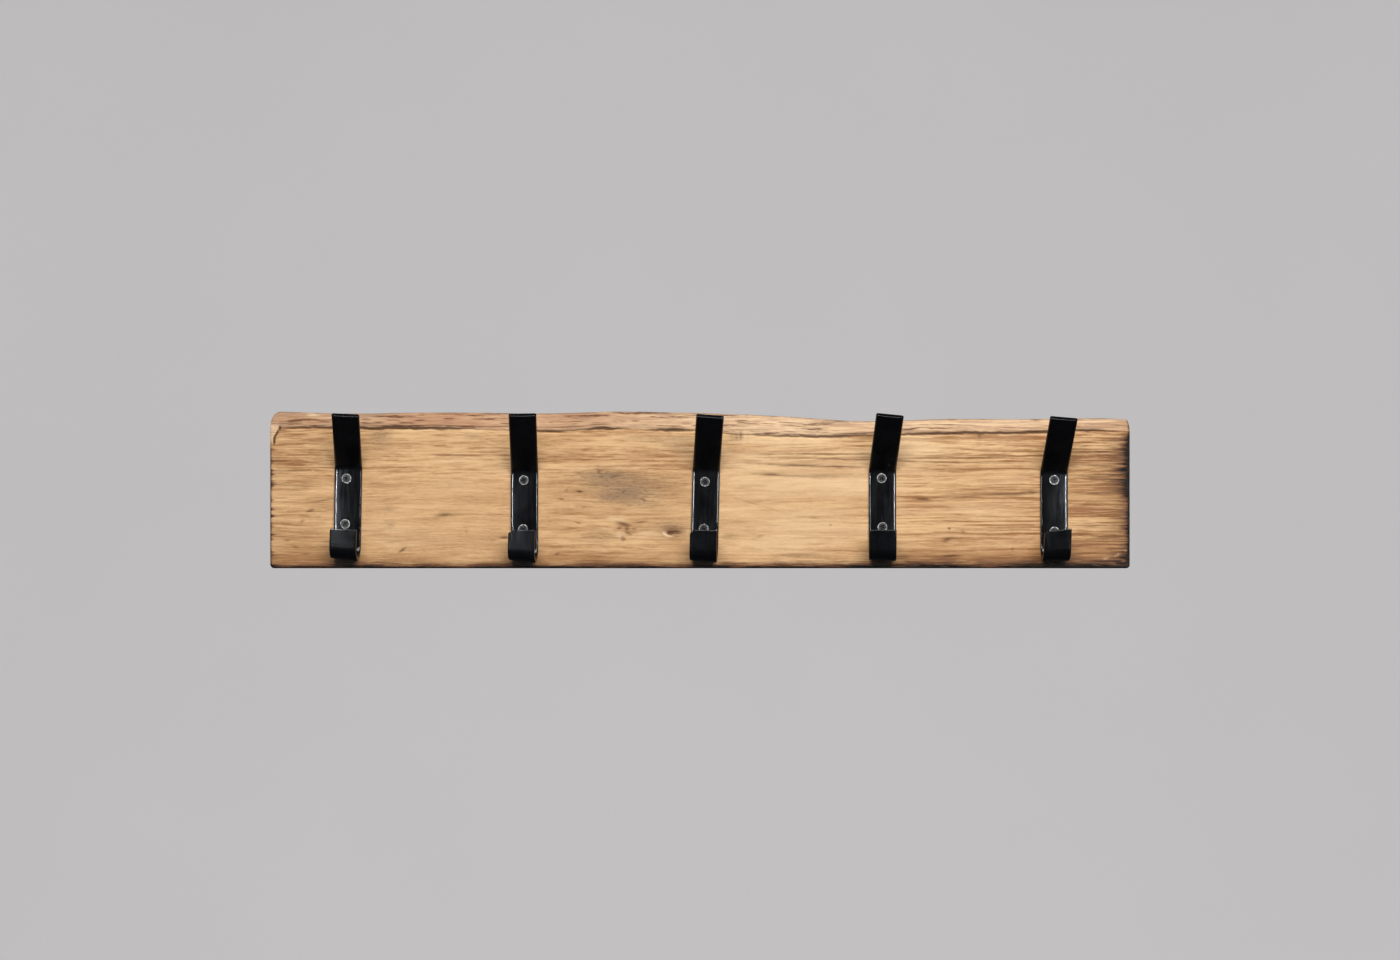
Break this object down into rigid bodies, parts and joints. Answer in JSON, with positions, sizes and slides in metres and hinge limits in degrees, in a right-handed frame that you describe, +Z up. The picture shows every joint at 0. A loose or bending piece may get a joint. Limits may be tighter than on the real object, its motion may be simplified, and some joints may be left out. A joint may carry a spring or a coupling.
{
  "type": "wall hook rack",
  "caption": "Wall coat rack: a rustic softwood plank with a natural top edge, carrying double hooks bent from flat black steel bar and hung from keyhole plates let in at the back.",
  "frame": {"origin": "on the wall plane, at the middle of the plank's length and of its sawn height", "axes": "+X along the plank, +Y into the wall, +Z up; the hooks stand out towards -Y"},
  "size_m": [0.8, 0.0827, 0.1465],
  "materials": {
    "softwood": "oiled, with scorched edges",
    "black_paint": "satin",
    "screw_steel": "worn",
    "hanger_zinc": "zinc plated"
  },
  "bodies": {
    "root": {"plank": "softwood", "hook_1": "black_paint", "hook_1_upper_screw": "screw_steel", "hook_1_lower_screw": "screw_steel", "hook_2": "black_paint", "hook_2_upper_screw": "screw_steel", "hook_2_lower_screw": "screw_steel", "hook_3": "black_paint", "hook_3_upper_screw": "screw_steel", "hook_3_lower_screw": "screw_steel", "hook_4": "black_paint", "hook_4_upper_screw": "screw_steel", "hook_4_lower_screw": "screw_steel", "hook_5": "black_paint", "hook_5_upper_screw": "screw_steel", "hook_5_lower_screw": "screw_steel", "left_hanger": "hanger_zinc", "left_hanger_upper_screw": "hanger_zinc", "left_hanger_lower_screw": "hanger_zinc", "right_hanger": "hanger_zinc", "right_hanger_upper_screw": "hanger_zinc", "right_hanger_lower_screw": "hanger_zinc"}
  },
  "joints": []
}
